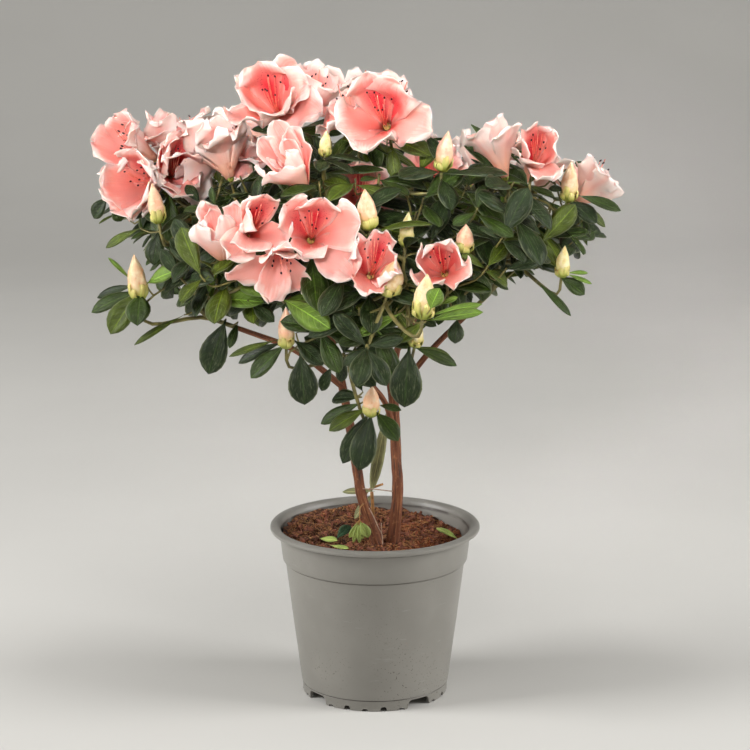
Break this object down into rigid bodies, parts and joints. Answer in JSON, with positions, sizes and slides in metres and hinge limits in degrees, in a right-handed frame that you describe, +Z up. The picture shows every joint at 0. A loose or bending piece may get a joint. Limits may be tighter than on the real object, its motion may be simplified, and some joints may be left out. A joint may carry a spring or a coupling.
{
  "type": "azalea shrub in pot",
  "caption": "Flowering evergreen azalea shrub: woody stems and boughs carry a broad leafy crown with funnel-shaped blooms and pointed buds, rooted in a tapered round nursery pot.",
  "frame": {"origin": "middle of the pot's underside, on the surface that it stands on", "axes": "+Z up; -Y towards the side that the picture shows; +X to the right of that side"},
  "size_m": [0.336, 0.3074, 0.401],
  "materials": {
    "plastic": "satin moulded plastic",
    "compost": "rough fibrous peat and bark",
    "bark": "fibrous, lengthwise flaking bark",
    "foliage": "leathery leaves with soft petals",
    "sprout": "thin young leaves"
  },
  "bodies": {
    "root": {"bough_back_centre": "bark", "bough_back_left": "bark", "bough_back_right": "bark", "bough_front_left": "bark", "bough_front_low": "bark", "bough_front_right": "bark", "bough_left_low": "bark", "bough_left_top": "bark", "bough_right_low": "bark", "bough_right_top": "bark", "bough_top_centre": "bark", "bough_top_left": "bark", "compost": "compost", "foliage_back_centre": "foliage", "foliage_back_left": "foliage", "foliage_back_right": "foliage", "foliage_front_left": "foliage", "foliage_front_low": "foliage", "foliage_front_right": "foliage", "foliage_left_low": "foliage", "foliage_left_top": "foliage", "foliage_right_low": "foliage", "foliage_right_top": "foliage", "foliage_top_centre": "foliage", "foliage_top_left": "foliage", "foot_sprout": "sprout", "pot": "plastic", "stem_left": "bark", "stem_right": "bark"}
  },
  "joints": []
}
